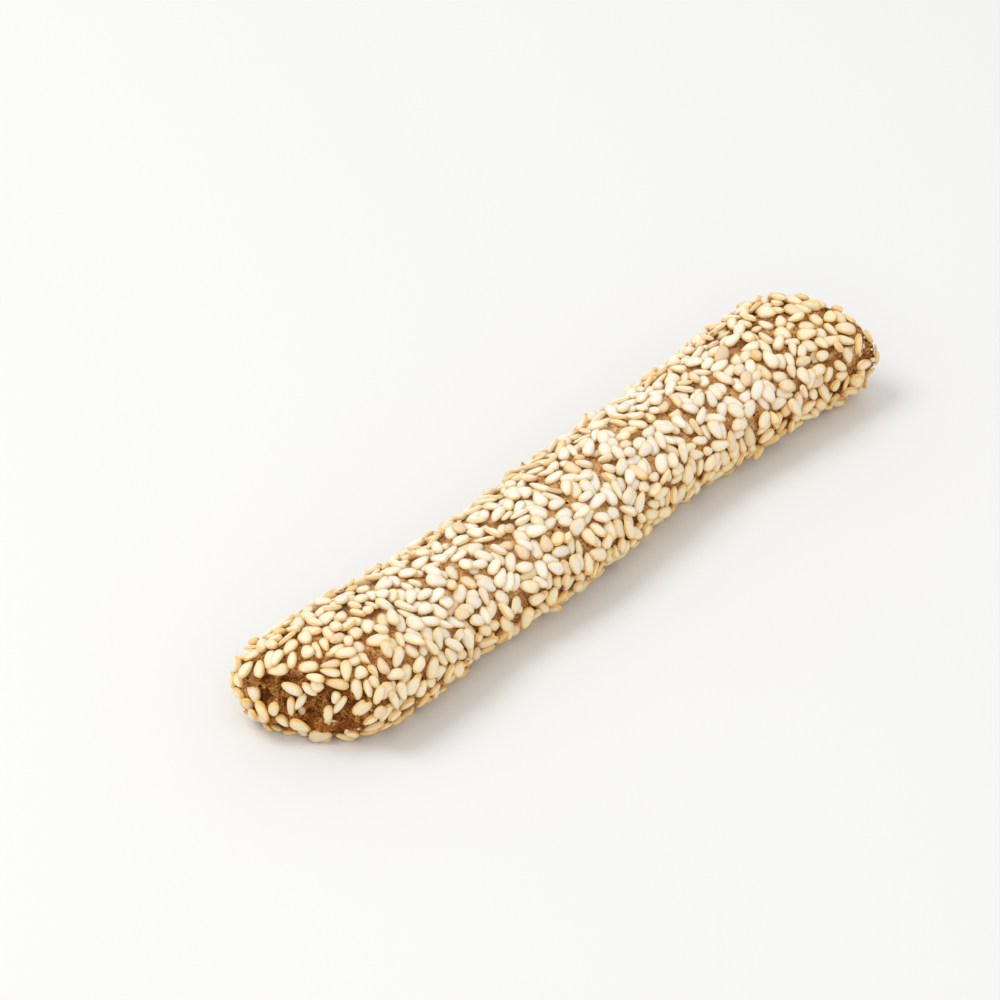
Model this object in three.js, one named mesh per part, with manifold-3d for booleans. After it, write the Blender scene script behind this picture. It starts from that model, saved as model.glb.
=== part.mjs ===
// Sesame breadstick: a hand-rolled stick of baked dough, a little flattened, cut off at both ends, with
// sesame seeds baked on all round. Millimetres, +Z up. The stick lies along X on its flat underside, and
// the origin is on that underside, below the middle of the whole stick.
import * as THREE from "three";
import { ParametricGeometry } from "three/addons/geometries/ParametricGeometry.js";
import { mergeVertices } from "three/addons/utils/BufferGeometryUtils.js";
import Module from "manifold-3d";

const wasm = await Module();
wasm.setup();

// The dough, without its seeds.
const dough = {
  length: 120.5,
  width: 20.8,
  height: 14.5,
  flatShare: 0.935, // height of the middle line, as a share of the half height
  endFullness: 2.4, // superellipse power of the rounded ends: 2 is round, more is squarer
  slantPower: 6, // how quickly the slant of the cuts fades out towards the middle
};

// Where fingers have rolled it thinner, and where it strays aside, at places spread evenly from end to end.
const rolledSize = [1.055, 1.05, 0.945, 0.985, 0.975, 0.93, 1.02, 1.065];
const rolledAside = [0.5, -0.3, -0.1, -0.8, 0.2, 0.8, 0.25, -0.6];

// Each cut runs slantwise over the stick, by slant for each millimetre across it, and its edges are rounded
// to the other depths.
const nearCut = { side: 6, top: 9, bottom: 3.4, slant: 0.5 };
const farCut = { side: 2.2, top: 2.2, bottom: 3, slant: 0.3 };

// One seed, and how the seeds are spread.
const seed = {
  length: 3.1,
  width: 2,
  thickness: 1.05,
  widest: -0.14, // where along its length, from -0.5 at the blunt end to 0.5 at the point
  sizeSpread: 0.12,
  sunk: 0.26, // share of the thickness that is in the dough
  tilt: 0.2, // radians
  count: 455,
  jitter: 0.3, // stray from the even spiral along the stick, as a share of the spacing
  turnJitter: 0.15, // stray around the stick, in radians
  faceTurn: 0.7, // a facet whose normal has this much of X is on a cut face
  faceShare: 0.5, // share of the places on the cut faces that hold a seed
  floorGap: 0.2, // clear height under the lowest seed
};

// How finely the dough is faceted, and how finely its area is measured for the spread of the seeds.
const aroundSteps = 18;
const alongSteps = 24;
const areaRings = 240;
const areaSides = 8;

const placeEnd = 2; // place runs from -placeEnd to placeEnd over the whole surface
const nudge = 0.01; // a small step of place or angle, to find which way the surface faces
const goldenAngle = Math.PI * (3 - Math.sqrt(5));

// A seeded random source (mulberry32), so that every build lays the same seeds.
let randomState = 20260;
function random() {
  randomState = (randomState + 0x6d2b79f5) | 0;
  let t = Math.imul(randomState ^ (randomState >>> 15), 1 | randomState);
  t = (t + Math.imul(t ^ (t >>> 7), 61 | t)) ^ t;
  return ((t ^ (t >>> 14)) >>> 0) / 4294967296;
}
const spread = (amount) => (2 * random() - 1) * amount;

// A smooth curve through evenly spread values, read at a place from 0 to 1.
function smoothThrough(values) {
  const curve = new THREE.SplineCurve(values.map((value, i) => new THREE.Vector2(i, value)));
  return (share) => curve.getPoint(THREE.MathUtils.clamp(share, 0, 1)).y;
}
const sizeAt = smoothThrough(rolledSize);
const asideAt = smoothThrough(rolledAside);

// A point of the dough's surface. Place runs from -2 to 2: the body is between -1 and 1, and past those
// the surface turns in over the rounded edge to the middle of the cut face. Angle 0 points to +Y, and a
// quarter turn to +Z.
function doughPoint(place, angle) {
  const half = dough.length / 2;
  const sign = Math.sign(place);
  const cut = sign < 0 ? nearCut : farCut;
  const turn = (Math.max(Math.abs(place) - 1, 0) * Math.PI) / 2;
  const power = 2 / dough.endFullness;
  const reach = Math.max(Math.cos(turn), 0) ** power;
  const pushed = Math.sin(turn) ** power;
  const up = Math.sin(angle);
  const depth = cut.side * (1 - up * up) + (up > 0 ? cut.top : cut.bottom) * up * up;
  const along = Math.max(-1, Math.min(place, 1)) * (half - depth) + sign * depth * pushed;
  const size = sizeAt(along / dough.length + 0.5);
  const across = (dough.width / 2) * size * reach * Math.cos(angle);
  const middle = dough.flatShare * (dough.height / 2) * size;
  const upward = (dough.height / 2) * size * reach * up;
  const slant = cut.slant * across * Math.abs(along / half) ** dough.slantPower;
  return new THREE.Vector3(
    along - slant,
    asideAt(along / dough.length + 0.5) + across,
    Math.max(middle + upward, 0),
  );
}

// A vector pointing into the dough, as long as the area that a nudge of place and of angle spans.
function facing(place, angle) {
  const here = doughPoint(place, angle);
  const along = doughPoint(place + nudge, angle).sub(here);
  const around = doughPoint(place, angle + nudge).sub(here);
  return along.cross(around);
}

function doughGeometry() {
  const surface = (u, v, target) => target.copy(doughPoint((2 * v - 1) * placeEnd, 2 * Math.PI * u));
  return new ParametricGeometry(surface, aroundSteps, alongSteps);
}

// A seed lying flat, drop-shaped in outline, with its point towards +Y.
function seedGeometry() {
  const profile = [
    new THREE.Vector2(0, -0.5),
    new THREE.Vector2(0.5, seed.widest),
    new THREE.Vector2(0, 0.5),
  ];
  const sides = 6;
  const round = new THREE.LatheGeometry(profile, sides, Math.PI / sides);
  return round.scale(seed.width, seed.length, seed.thickness);
}

// Where the seeds go: a spiral over the whole surface that gives each seed the same area.
function seedPlaces() {
  const areas = [];
  let total = 0;
  for (let ring = 0; ring < areaRings; ring += 1) {
    const place = ((2 * ring + 1) / areaRings - 1) * placeEnd;
    for (let side = 0; side < areaSides; side += 1) {
      const angle = (2 * Math.PI * side) / areaSides;
      total += facing(place, angle).length();
    }
    areas.push({ place, total });
  }
  return Array.from({ length: seed.count }, (_, i) => {
    const wanted = ((i + 0.5 + spread(seed.jitter)) / seed.count) * total;
    const { place } = areas.find((area) => area.total >= wanted) ?? areas[areaRings - 1];
    return { place, angle: i * goldenAngle + spread(seed.turnJitter) };
  });
}

// One seed on the faceted dough, or null where it would come too near the floor or the cut stays bare.
function seedAt({ place, angle }, doughMesh) {
  const inward = facing(place, angle).normalize();
  const outside = doughPoint(place, angle).addScaledVector(inward, -seed.length);
  const sight = new THREE.Raycaster(outside, inward);
  const { point, face } = sight.intersectObject(doughMesh)[0];
  const turn = new THREE.Euler(spread(seed.tilt), spread(seed.tilt), spread(Math.PI));
  const size = 1 + spread(seed.sizeSpread);
  const bare = random() > seed.faceShare;
  if (bare && Math.abs(face.normal.x) > seed.faceTurn) return null;
  const lying = new THREE.Quaternion().setFromUnitVectors(new THREE.Vector3(0, 0, 1), face.normal);
  lying.multiply(new THREE.Quaternion().setFromEuler(turn));
  point.addScaledVector(face.normal, seed.thickness * (0.5 - seed.sunk));
  const scale = new THREE.Vector3(size, size, size);
  const geometry = seedGeometry().applyMatrix4(new THREE.Matrix4().compose(point, lying, scale));
  geometry.computeBoundingBox();
  return geometry.boundingBox.min.z < seed.floorGap ? null : geometry;
}

// A closed solid from a geometry whose seams are merged and whose points at the poles are dropped.
function toSolid(geometry) {
  geometry.deleteAttribute("normal");
  geometry.deleteAttribute("uv");
  const merged = mergeVertices(geometry, 1e-4);
  const corners = Array.from(merged.getIndex().array);
  const whole = corners.filter((_, i) => {
    const [a, b, c] = corners.slice(i - (i % 3), i - (i % 3) + 3);
    return a !== b && b !== c && c !== a;
  });
  const vertProperties = Float32Array.from(merged.getAttribute("position").array);
  const triVerts = Uint32Array.from(whole);
  return new wasm.Manifold(new wasm.Mesh({ numProp: 3, vertProperties, triVerts }));
}

function toGeometry(solid) {
  const { vertProperties, triVerts } = solid.getMesh();
  const geometry = new THREE.BufferGeometry();
  geometry.setAttribute("position", new THREE.BufferAttribute(vertProperties, 3));
  geometry.setIndex(new THREE.BufferAttribute(triVerts, 1));
  geometry.computeVertexNormals();
  return geometry;
}

function breadstick() {
  const plain = doughGeometry();
  const doughMesh = new THREE.Mesh(plain);
  const seeds = seedPlaces().map((place) => seedAt(place, doughMesh)).filter(Boolean);
  const joined = seeds.reduce((whole, one) => whole.add(toSolid(one)), toSolid(plain));
  const geometry = toGeometry(joined);
  geometry.computeBoundingBox();
  const middle = geometry.boundingBox.getCenter(new THREE.Vector3());
  geometry.translate(-middle.x, -middle.y, 0);
  const crust = new THREE.MeshStandardMaterial({ color: 0xe6c99a, roughness: 0.6, metalness: 0 });
  const mesh = new THREE.Mesh(geometry, crust);
  mesh.name = "breadstick";
  return mesh;
}

const group = new THREE.Group();
group.add(breadstick());
export default group;
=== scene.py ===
import math
from contextlib import contextmanager

import bmesh
import bpy
import numpy as np
from mathutils import Matrix, Vector, noise
from mathutils.bvhtree import BVHTree


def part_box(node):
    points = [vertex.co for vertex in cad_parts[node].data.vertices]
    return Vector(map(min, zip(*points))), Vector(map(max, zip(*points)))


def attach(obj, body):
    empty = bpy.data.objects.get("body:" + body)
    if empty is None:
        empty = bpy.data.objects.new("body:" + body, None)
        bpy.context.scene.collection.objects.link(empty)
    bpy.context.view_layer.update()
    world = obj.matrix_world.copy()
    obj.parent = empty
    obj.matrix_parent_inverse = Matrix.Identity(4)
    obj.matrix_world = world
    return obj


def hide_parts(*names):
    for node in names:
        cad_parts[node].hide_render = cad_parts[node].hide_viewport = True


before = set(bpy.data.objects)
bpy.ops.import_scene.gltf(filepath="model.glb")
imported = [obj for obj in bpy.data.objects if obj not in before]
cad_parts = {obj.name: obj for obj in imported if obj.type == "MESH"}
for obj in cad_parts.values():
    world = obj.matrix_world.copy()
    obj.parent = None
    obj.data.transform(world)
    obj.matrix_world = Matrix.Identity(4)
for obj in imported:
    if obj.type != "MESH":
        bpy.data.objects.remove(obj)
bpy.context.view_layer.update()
node = "breadstick"
body = "root"
cadLow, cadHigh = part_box(node)
mm = 0.001
rng = np.random.default_rng(4107)

view = {
    "azimuth": -49.0,
    "elevation": 37.5,
    "distance": 800 * mm,
    "pixelsPerMm": 6.68,  # at the aim point
    "aim": (0.2 * mm, 0.07 * mm, 7.5 * mm),
    "aimPixel": (564.9, 509.6),  # where the aim point is seen
    "pictureSide": 1000,
    "sensor": 36.0,
}


def addObject(name, data):
    made = bpy.data.objects.new(name, data)
    bpy.context.scene.collection.objects.link(made)
    return made


def addCamera():
    azimuth = math.radians(view["azimuth"])
    elevation = math.radians(view["elevation"])
    right = Vector((math.cos(azimuth), math.sin(azimuth), 0))
    back = Vector((
        math.sin(azimuth) * math.cos(elevation),
        -math.cos(azimuth) * math.cos(elevation),
        math.sin(elevation),
    ))
    up = back.cross(right)
    middle = view["pictureSide"] / 2
    perPixel = mm / view["pixelsPerMm"]
    place = Vector(view["aim"]) + back * view["distance"]
    place -= right * (view["aimPixel"][0] - middle) * perPixel
    place += up * (view["aimPixel"][1] - middle) * perPixel
    lensPixels = view["pixelsPerMm"] * view["distance"] / mm
    data = bpy.data.cameras.new("camera")
    data.sensor_width = view["sensor"]
    data.lens = lensPixels * view["sensor"] / view["pictureSide"]
    camera = addObject("camera", data)
    camera.matrix_world = Matrix.Translation(place) @ Matrix((right, up, back)).transposed().to_4x4()
    bpy.context.scene.camera = camera


light = {
    "world": 0.8,
    "key": {"place": (-0.3, 0.4, 0.85), "size": 0.5, "power": 3.6},
    "fill": {"place": (-0.6, -0.55, 0.5), "size": 0.7, "power": 0.9},
}


def addLight(name, place, size, power):
    data = bpy.data.lights.new(name, "AREA")
    data.shape = "DISK"
    data.size = size
    data.energy = power
    lamp = addObject(name, data)
    lamp.location = place
    lamp.rotation_euler = Vector(place).to_track_quat("Z", "Y").to_euler()


def addLights():
    world = bpy.data.worlds.new("studio")
    world.use_nodes = True
    world.node_tree.nodes["Background"].inputs["Color"].default_value = (1, 1, 1, 1)
    world.node_tree.nodes["Background"].inputs["Strength"].default_value = light["world"]
    bpy.context.scene.world = world
    bpy.context.scene.view_settings.view_transform = "Standard"
    addLight("keyLight", **light["key"])
    addLight("fillLight", **light["fill"])


class Wire:
    # a shader socket that can be added, subtracted and multiplied

    def __init__(self, shader, socket):
        self.shader = shader
        self.socket = socket

    def sum(self, operation, first, second):
        return self.shader.node("ShaderNodeMath", {"operation": operation}, {0: first, 1: second})

    def __add__(self, other):
        return self.sum("ADD", self, other)

    def __radd__(self, other):
        return self.sum("ADD", other, self)

    def __sub__(self, other):
        return self.sum("SUBTRACT", self, other)

    def __rsub__(self, other):
        return self.sum("SUBTRACT", other, self)

    def __mul__(self, other):
        return self.sum("MULTIPLY", self, other)

    def __rmul__(self, other):
        return self.sum("MULTIPLY", other, self)


class Shader:
    def __init__(self, name, fixed):
        self.material = bpy.data.materials.new(name)
        self.material.use_nodes = True
        self.tree = self.material.node_tree
        self.surface = self.tree.nodes["Principled BSDF"]
        for socket, value in fixed.items():
            self.surface.inputs[socket].default_value = value

    def node(self, kind, settings=None, sockets=None, output=0):
        made = self.tree.nodes.new(kind)
        for name, value in (settings or {}).items():
            if name == "stops":
                setStops(made.color_ramp, value)
            else:
                setattr(made, name, value)
        for name, value in (sockets or {}).items():
            self.feed(made.inputs[name], value)
        return Wire(self, made.outputs[output])

    def feed(self, socket, value):
        if isinstance(value, Wire):
            self.tree.links.new(value.socket, socket)
        else:
            socket.default_value = value

    def place(self):
        return self.node("ShaderNodeTexCoord", output="Object")

    def attribute(self, name):
        return self.node("ShaderNodeAttribute", {"attribute_name": name}, output="Fac")

    def grain(self, size, detail, roughness):
        sockets = {"Vector": self.place(), "Scale": 1 / size, "Detail": detail, "Roughness": roughness}
        return self.node("ShaderNodeTexNoise", sockets=sockets)

    def ramp(self, wire, positions, paints):
        stops = [(position, colour(*paint)) for position, paint in zip(positions, paints)]
        return self.node("ShaderNodeValToRGB", {"stops": stops}, {"Fac": wire})

    def fade(self, wire, low, high):
        sockets = {"Value": wire, "From Min": low, "From Max": high}
        return self.node("ShaderNodeMapRange", {"interpolation_type": "SMOOTHSTEP"}, sockets)

    def mix(self, share, first, second):
        return self.node("ShaderNodeMix", {"data_type": "RGBA"}, {0: share, 6: first, 7: second}, output=2)

    def finish(self, paint, roughness, relief, reliefDepth):
        self.feed(self.surface.inputs["Base Color"], paint)
        self.feed(self.surface.inputs["Roughness"], roughness)
        bump = self.node("ShaderNodeBump", sockets={"Height": relief, "Distance": reliefDepth})
        self.feed(self.surface.inputs["Normal"], bump)
        return self.material


def setStops(ramp, stops):
    while len(ramp.elements) < len(stops):
        ramp.elements.new(1.0)
    for element, (position, paint) in zip(ramp.elements, stops):
        element.position = position
        element.color = paint


def linear(value):
    # the sRGB curve, from a value of 0 to 255
    share = value / 255
    return ((share + 0.055) / 1.055) ** 2.4 if value > 10 else share / 12.92


def colour(red, green, blue):
    return (linear(red), linear(green), linear(blue), 1.0)


# the form of the solid's dough, which the rough dough and the seeds on it follow
stick = {
    "length": 120.5 * mm,
    "width": 20.8 * mm,
    "height": 14.5 * mm,
    "flatShare": 0.935,
    "endFullness": 2.4,
    "slantPower": 6,
    "rolledSize": [1.055, 1.05, 0.945, 0.985, 0.975, 0.93, 1.02, 1.065],
    "rolledAside": [0.5, -0.3, -0.1, -0.8, 0.2, 0.8, 0.25, -0.6],  # mm
    "nearCut": {"side": 6 * mm, "top": 9 * mm, "bottom": 3.4 * mm, "slant": 0.5},
    "farCut": {"side": 2.2 * mm, "top": 2.2 * mm, "bottom": 3 * mm, "slant": 0.3},
    "shift": (0.2 * mm, 0.075 * mm, 0),  # puts the middle of the whole stick over the origin
    "axisEnds": (-52 * mm, 57 * mm),  # the line inside the stick that its surface faces away from
    "axisHeight": 7 * mm,
    "inset": 0.4 * mm,  # how far the dough lies under the solid's dough, to leave room for piled seeds
    "underside": 0.5 * mm,  # height of the dough's flat underside, which the seeds beneath it carry
    "bakedEnds": (34 * mm, 54 * mm),  # from the middle: where the browner ends start and are full
    "bakedAndShadedLow": (3 * mm, 12.5 * mm),  # heights between which the browner underside fades out: partly tray browning, partly painted shade of the underside
    "roomAside": 0.65 * mm,  # how far the seeds may stand out over the solid's sides and top
    "roomAbove": 0.42 * mm,
}


def smoothThrough(values, share):
    values = np.asarray(values)
    last = len(values) - 1
    place = np.clip(share, 0, 1) * last
    first = np.minimum(place.astype(int), last)
    part = place - first
    before, here, after, later = (values[np.clip(first + k, 0, last)] for k in (-1, 0, 1, 2))
    slopeHere = (after - before) / 2
    slopeAfter = (later - here) / 2
    cubic = (2 * here - 2 * after + slopeHere + slopeAfter) * part**3
    square = (3 * after - 3 * here - 2 * slopeHere - slopeAfter) * part**2
    return cubic + square + slopeHere * part + here


def stickPoints(place, angle):
    # place runs from -2 to 2: past -1 and 1 the surface turns in over the rounded cut
    half = stick["length"] / 2
    sign = np.sign(place)

    def ofCut(name):
        return np.where(sign < 0, stick["nearCut"][name], stick["farCut"][name])

    turn = np.maximum(np.abs(place) - 1, 0) * math.pi / 2
    power = 2 / stick["endFullness"]
    reach = np.maximum(np.cos(turn), 0) ** power
    pushed = np.sin(turn) ** power
    up = np.sin(angle)
    depth = ofCut("side") * (1 - up * up) + np.where(up > 0, ofCut("top"), ofCut("bottom")) * up * up
    along = np.clip(place, -1, 1) * (half - depth) + sign * depth * pushed
    share = along / stick["length"] + 0.5
    size = smoothThrough(stick["rolledSize"], share)
    across = stick["width"] / 2 * size * reach * np.cos(angle)
    middle = stick["flatShare"] * stick["height"] / 2 * size
    upward = stick["height"] / 2 * size * reach * up
    slant = ofCut("slant") * across * np.abs(along / half) ** stick["slantPower"]
    aside = smoothThrough(stick["rolledAside"], share) * mm
    return np.stack([along - slant, aside + across, middle + upward], axis=-1) + stick["shift"]


def onStick(rows):
    # the surface points of rows that start with a place and an angle in degrees
    rows = np.array(rows)
    return stickPoints(rows[:, 0], np.radians(rows[:, 1]))


def newMesh(name, create, **sizes):
    # a mesh of one bmesh shape, with the UV map that the looks are baked on
    shape = bmesh.new()
    shape.loops.layers.uv.new("OFBake")
    create(shape, calc_uvs=True, **sizes)
    mesh = bpy.data.meshes.new(name)
    shape.to_mesh(mesh)
    shape.free()
    return mesh


@contextmanager
def reshaping(mesh):
    # a bmesh of the mesh, written back to it afterwards
    shape = bmesh.new()
    shape.from_mesh(mesh)
    yield shape
    shape.to_mesh(mesh)
    shape.free()


def coordinates(mesh):
    flat = np.empty(len(mesh.vertices) * 3)
    mesh.vertices.foreach_get("co", flat)
    return flat.reshape(-1, 3)


def moveTo(mesh, points):
    mesh.vertices.foreach_set("co", np.ascontiguousarray(points, dtype=np.float32).ravel())
    mesh.update()


def normals(mesh):
    flat = np.empty(len(mesh.vertices) * 3, dtype=np.float32)
    mesh.vertex_normals.foreach_get("vector", flat)
    return flat.reshape(-1, 3).astype(float)


def unit(vectors):
    return vectors / np.maximum(np.linalg.norm(vectors, axis=-1, keepdims=True), 1e-12)


def smoothStep(values, low, high):
    share = np.clip((values - low) / (high - low), 0, 1)
    return share * share * (3 - 2 * share)


def addValues(mesh, name, values):
    layer = mesh.attributes.new(name, "FLOAT", "POINT")
    layer.data.foreach_set("value", np.ascontiguousarray(values, dtype=np.float32))


def addPiece(name, mesh, material):
    piece = addObject(name, mesh)
    mesh.materials.clear()
    mesh.materials.append(material)
    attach(piece, body)
    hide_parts(node)


dough = {
    "grid": {"x_segments": 440, "y_segments": 220, "size": 1},  # along the stick and round it
    "capShare": 0.24,  # share of the rows that each cut end takes
    "nearFaces": (-0.87, -0.45, 0.12),  # the way that the cut faces
    "farFaces": (0.96, 0.28, 0.05),
    "cutFacing": (0.84, 0.93),  # how squarely the surface faces that way where crumb starts and is full
    "cutUnder": 0.12,  # how much further the near cut's crumb reaches below
    "ragged": (2.2 * mm, 0.1),  # size and strength of the noise that frays the crumb's rim
    "tornPlace": (60.5 * mm, -10.4 * mm, 9.6 * mm),  # a torn patch at the corner of the far cut
    "tornReach": (2.2 * mm, 3.3 * mm),
    "tornRagged": 8 * mm,
    "wave": (2.6 * mm, 0.16 * mm),  # size and height of each layer of relief
    "lump": (0.9 * mm, 0.17 * mm),
    "crumb": (0.45 * mm, 0.09 * mm),
    "pit": (1.7 * mm, 0.45 * mm),
    "pitRim": (0.12, 0.34),  # from a pit's middle, in sizes: where its wall starts and ends
    "tear": (1.7 * mm, 1.0 * mm),
    "tearFar": 0.4,  # the far cut's share of the tears' height
    "gasCell": (1.05 * mm, 0.4 * mm),
    "gasCellRim": (0.15, 0.5),
    "bakedAndShadedBrown": 0.9,
    "bakedEndShare": 0.72,
    "hollowShadeDepth": 0.4 * mm,  # a hollow this deep gets the darkest painted shade
    "caramelTop": (2 * mm, 6 * mm),  # heights between which the caramel under the cuts fades out
    "caramelRagged": 6 * mm,
}


def smoothDough():
    # a flat grid wrapped round the stick, its rows crowded over the two cuts
    mesh = newMesh("dough", bmesh.ops.create_grid, **dough["grid"])
    flat = coordinates(mesh)
    cap = dough["capShare"]
    far = np.abs(flat[:, 0])
    place = np.where(far < 1 - cap, far / (1 - cap), 1 + (far - (1 - cap)) / cap) * np.sign(flat[:, 0])
    moveTo(mesh, stickPoints(place, (flat[:, 1] + 1) * math.pi))
    with reshaping(mesh) as shape:
        same = 0.001 * mm
        bmesh.ops.remove_doubles(shape, verts=shape.verts, dist=same)
        bmesh.ops.dissolve_degenerate(shape, edges=shape.edges, dist=same)
        bmesh.ops.recalc_face_normals(shape, faces=shape.faces)
    mesh.shade_smooth()
    points = coordinates(mesh) - normals(mesh) * stick["inset"]
    points[:, 2] = np.maximum(points[:, 2], stick["underside"])
    moveTo(mesh, points)
    return mesh


def noiseAt(points, size, octaves, offset=0.0):
    shift = Vector((offset, 2 * offset, 3 * offset))
    return np.array([noise.fractal(Vector(p) / size + shift, 1.0, 2.0, octaves) for p in points])


def pitsAt(points, size, rim):
    found = np.array([noise.voronoi(Vector(p) / size)[0][0] for p in points])
    return 1 - smoothStep(found, *rim)


def onCut(outward, name):
    # how squarely a surface faces the way that one of the two cuts faces
    return outward @ np.array(Vector(dough[name]).normalized())


def fromTorn(points):
    return np.linalg.norm(points - np.array(dough["tornPlace"]), axis=-1)


def bakedMoreAndShadedLow(points, endShare):
    # how much browner the stick is near its ends, where it baked more, and low down, partly where it
    # touched the tray and partly as painted shade of the underside
    ends = smoothStep(np.abs(points[..., 0]), *stick["bakedEnds"]) * endShare
    return np.maximum(ends, 1 - smoothStep(points[..., 2], *stick["bakedAndShadedLow"]))


def roughenDough(mesh):
    points = coordinates(mesh)
    outward = normals(mesh)
    size, most = dough["ragged"]
    ragged = most * noiseAt(points, size, 2, 5.0)
    near = onCut(outward, "nearFaces") + dough["cutUnder"] * np.maximum(-outward[:, 2], 0)
    face = smoothStep(np.maximum(near, onCut(outward, "farFaces")) + ragged, *dough["cutFacing"])
    apart = fromTorn(points) + dough["tornRagged"] * ragged
    face = np.maximum(face, 1 - smoothStep(apart, *dough["tornReach"]))
    height = np.zeros(len(points))
    for name, octaves in (("wave", 2), ("lump", 2), ("crumb", 1)):
        size, most = dough[name]
        height += most * noiseAt(points, size, octaves)
    size, most = dough["pit"]
    height -= most * pitsAt(points, size, dough["pitRim"])
    torn = np.nonzero(face > 0)[0]
    size, most = dough["tear"]
    most *= np.where(points[torn, 0] > 0, dough["tearFar"], 1.0)
    height[torn] += face[torn] * most * (noiseAt(points[torn], size, 4, 9.0) - 0.2)
    size, most = dough["gasCell"]
    height[torn] -= face[torn] * most * pitsAt(points[torn], size, dough["gasCellRim"])
    moved = points + outward * height[:, None]
    moved[:, 2] = np.maximum(moved[:, 2], stick["underside"])
    moveTo(mesh, moved)
    # brown: the cut crumb, the ends baked browner, and low down partly painted shade of the underside
    brown = np.maximum(face, dough["bakedAndShadedBrown"] * bakedMoreAndShadedLow(points, dough["bakedEndShare"]))
    addValues(mesh, "brown", brown)
    # painted shade in the hollows of the relief, stronger in the brown crumb
    addValues(mesh, "hollow", np.clip(-height / dough["hollowShadeDepth"], 0, 1) * (0.4 + 0.6 * brown))
    level = moved[:, 2] + dough["caramelRagged"] * ragged
    addValues(mesh, "caramel", face * (1 - smoothStep(level, *dough["caramelTop"])))


def doughMaterial():
    # a pale crust, and a brown crumb where the attribute brown says that it is cut, baked more at the ends,
    # and low down partly painted shade; hollows and pinholes are painted darker as shade
    shader = Shader("bakedDough", {"Specular IOR Level": 0.12})
    brown, hollow, caramel = (shader.attribute(name) for name in ("brown", "hollow", "caramel"))
    coarse = shader.grain(1.9 * mm, 3.0, 0.6)
    fine = shader.grain(0.5 * mm, 4.0, 0.75)
    tiny = shader.grain(0.22 * mm, 1.0, 0.5)
    blend = coarse * 0.3 + fine * 0.45 + tiny * 0.25
    positions = (0.42, 0.475, 0.53, 0.59)
    crust = [(176, 112, 50), (214, 152, 92), (233, 181, 120), (248, 218, 170)]
    inside = [(88, 40, 6), (147, 85, 26), (189, 124, 53), (229, 175, 104)]
    base = shader.mix(brown, *(shader.ramp(blend, positions, paints) for paints in (crust, inside)))
    baked = shader.mix(caramel * shader.fade(fine, 0.35, 0.6), base, colour(196, 112, 40))
    # painted shade: the hollows of the relief are darkened towards dark brown
    hollowShaded = shader.mix(hollow * 0.38, baked, colour(92, 40, 6))
    # pinholes: small dents in the relief, painted dark as the shade inside them
    cells = shader.node("ShaderNodeTexVoronoi", sockets={"Vector": shader.place(), "Scale": 1 / (2.1 * mm)})
    pinhole = shader.fade(cells, 0.15, 0.07)
    pinholeShaded = shader.mix(pinhole, hollowShaded, colour(66, 32, 12))
    relief = fine + 0.5 * tiny + 0.4 * coarse - 1.2 * pinhole
    return shader.finish(pinholeShaded, 0.6 + 0.25 * fine, relief, 0.35 * mm)


seed = {
    # size and form
    "length": 3.1 * mm,
    "width": 1.82 * mm,
    "thickness": 0.95 * mm,
    "lengthSpread": 0.1,
    "widthSpread": 0.13,
    "thicknessSpread": 0.12,
    "spreadMost": 0.24,
    "sphere": {"u_segments": 14, "v_segments": 6, "radius": 1},
    "variants": 10,
    "brokenVariants": (3, 5, 8),
    "brokenAt": (0.08, 0, 0),
    "brokenFaces": (1, 0.35, 0.2),
    "fullness": 0.82,  # under 1 the seed's faces are flatter than an egg's
    "squareness": 2.2,  # over 2 the seed's outline is fuller than an ellipse
    "leanMost": 0.08,
    "uneven": (-0.03, 0.03),
    # where the seeds lie
    "perArea": 0.29 / mm**2,
    "onEdge": 0.04,  # share of the seeds that stand on their rim
    "lie": (0.5, -0.7, -0.7),  # the way most seeds lie
    "lieWeight": 0.7,  # and how strongly
    "laidLength": (2.1 * mm, 3.7 * mm),
    "laidLarger": 1.04,
    "clearOfLaid": 1.35 * mm,
    "clearOfTorn": 0.7 * mm,
    "onCut": 0.86,  # what faces a cut's way this squarely lies on the cut
    "farCutSpread": 0.6,  # how thickly the far cut is strewn
    "farCutShare": 0.45,  # share of those seeds that it keeps
    # how they push each other apart
    "rounds": 50,
    "searchRounds": 6,  # neighbours are looked for once in so many rounds
    "searchReach": 1.5,  # in lengths of a seed
    "discs": (-0.3, 0.0, 0.3),  # where along a seed are the three discs that stand for it
    "discSizes": (0.98, 1.0, 0.9),
    "slack": 0.73,  # share of its width that a seed keeps for itself
    "push": 0.35,
    "barePush": 0.3,
    "bareShare": 0.75,  # share of a bare patch's reach that seeds are pushed out of
    "bareBeside": 0.35,  # and the share of a seed's width beyond that
    "turnWeight": 0.12,
    "turnMost": 0.3,
    # how the gaps between them are filled
    "fillTries": 14000,
    "fillWays": 8,
    "fillArm": 0.6,  # where the outer discs of a filling seed are, in halves of its length
    "fillLength": (2.4 * mm, 3.0 * mm),
    "fillWidth": (1.4 * mm, 1.8 * mm),
    "gap": 0.32 * mm,  # dough this far from every seed gets one more
    "fillClearOfTorn": 1.2 * mm,
    "fillClearOfBare": 0.2 * mm,
    "fillOnCut": 0.8,
    # how they are laid down
    "tries": 40,  # tilts that a seed is tried at
    "tilt": 0.25,
    "tiltCost": 0.2 * mm,
    "edgeRoll": (0.9, 1.4),
    "embed": (0.1 * mm, 0.3 * mm),
    "layReach": 1.25,  # seeds this near are cleared, in lengths of a seed
    "highest": 1.2 * mm,
    "highestFixed": 1.6 * mm,
    # how they are baked
    "bakedEndShare": 0.5,
    "bakedAndShadedToast": 0.3,
}

# how seeds differ from an egg, each from its least to its most
seedForm = {
    "bend": (-0.12, 0.12), "curl": (-0.1, 0.1), "hollow": (0.0, 0.16), "narrow": (0.0, 0.36),
    "point": (0.0, 0.16), "blunt": (0.0, 0.12), "lean": (-1, 1),
}

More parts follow.
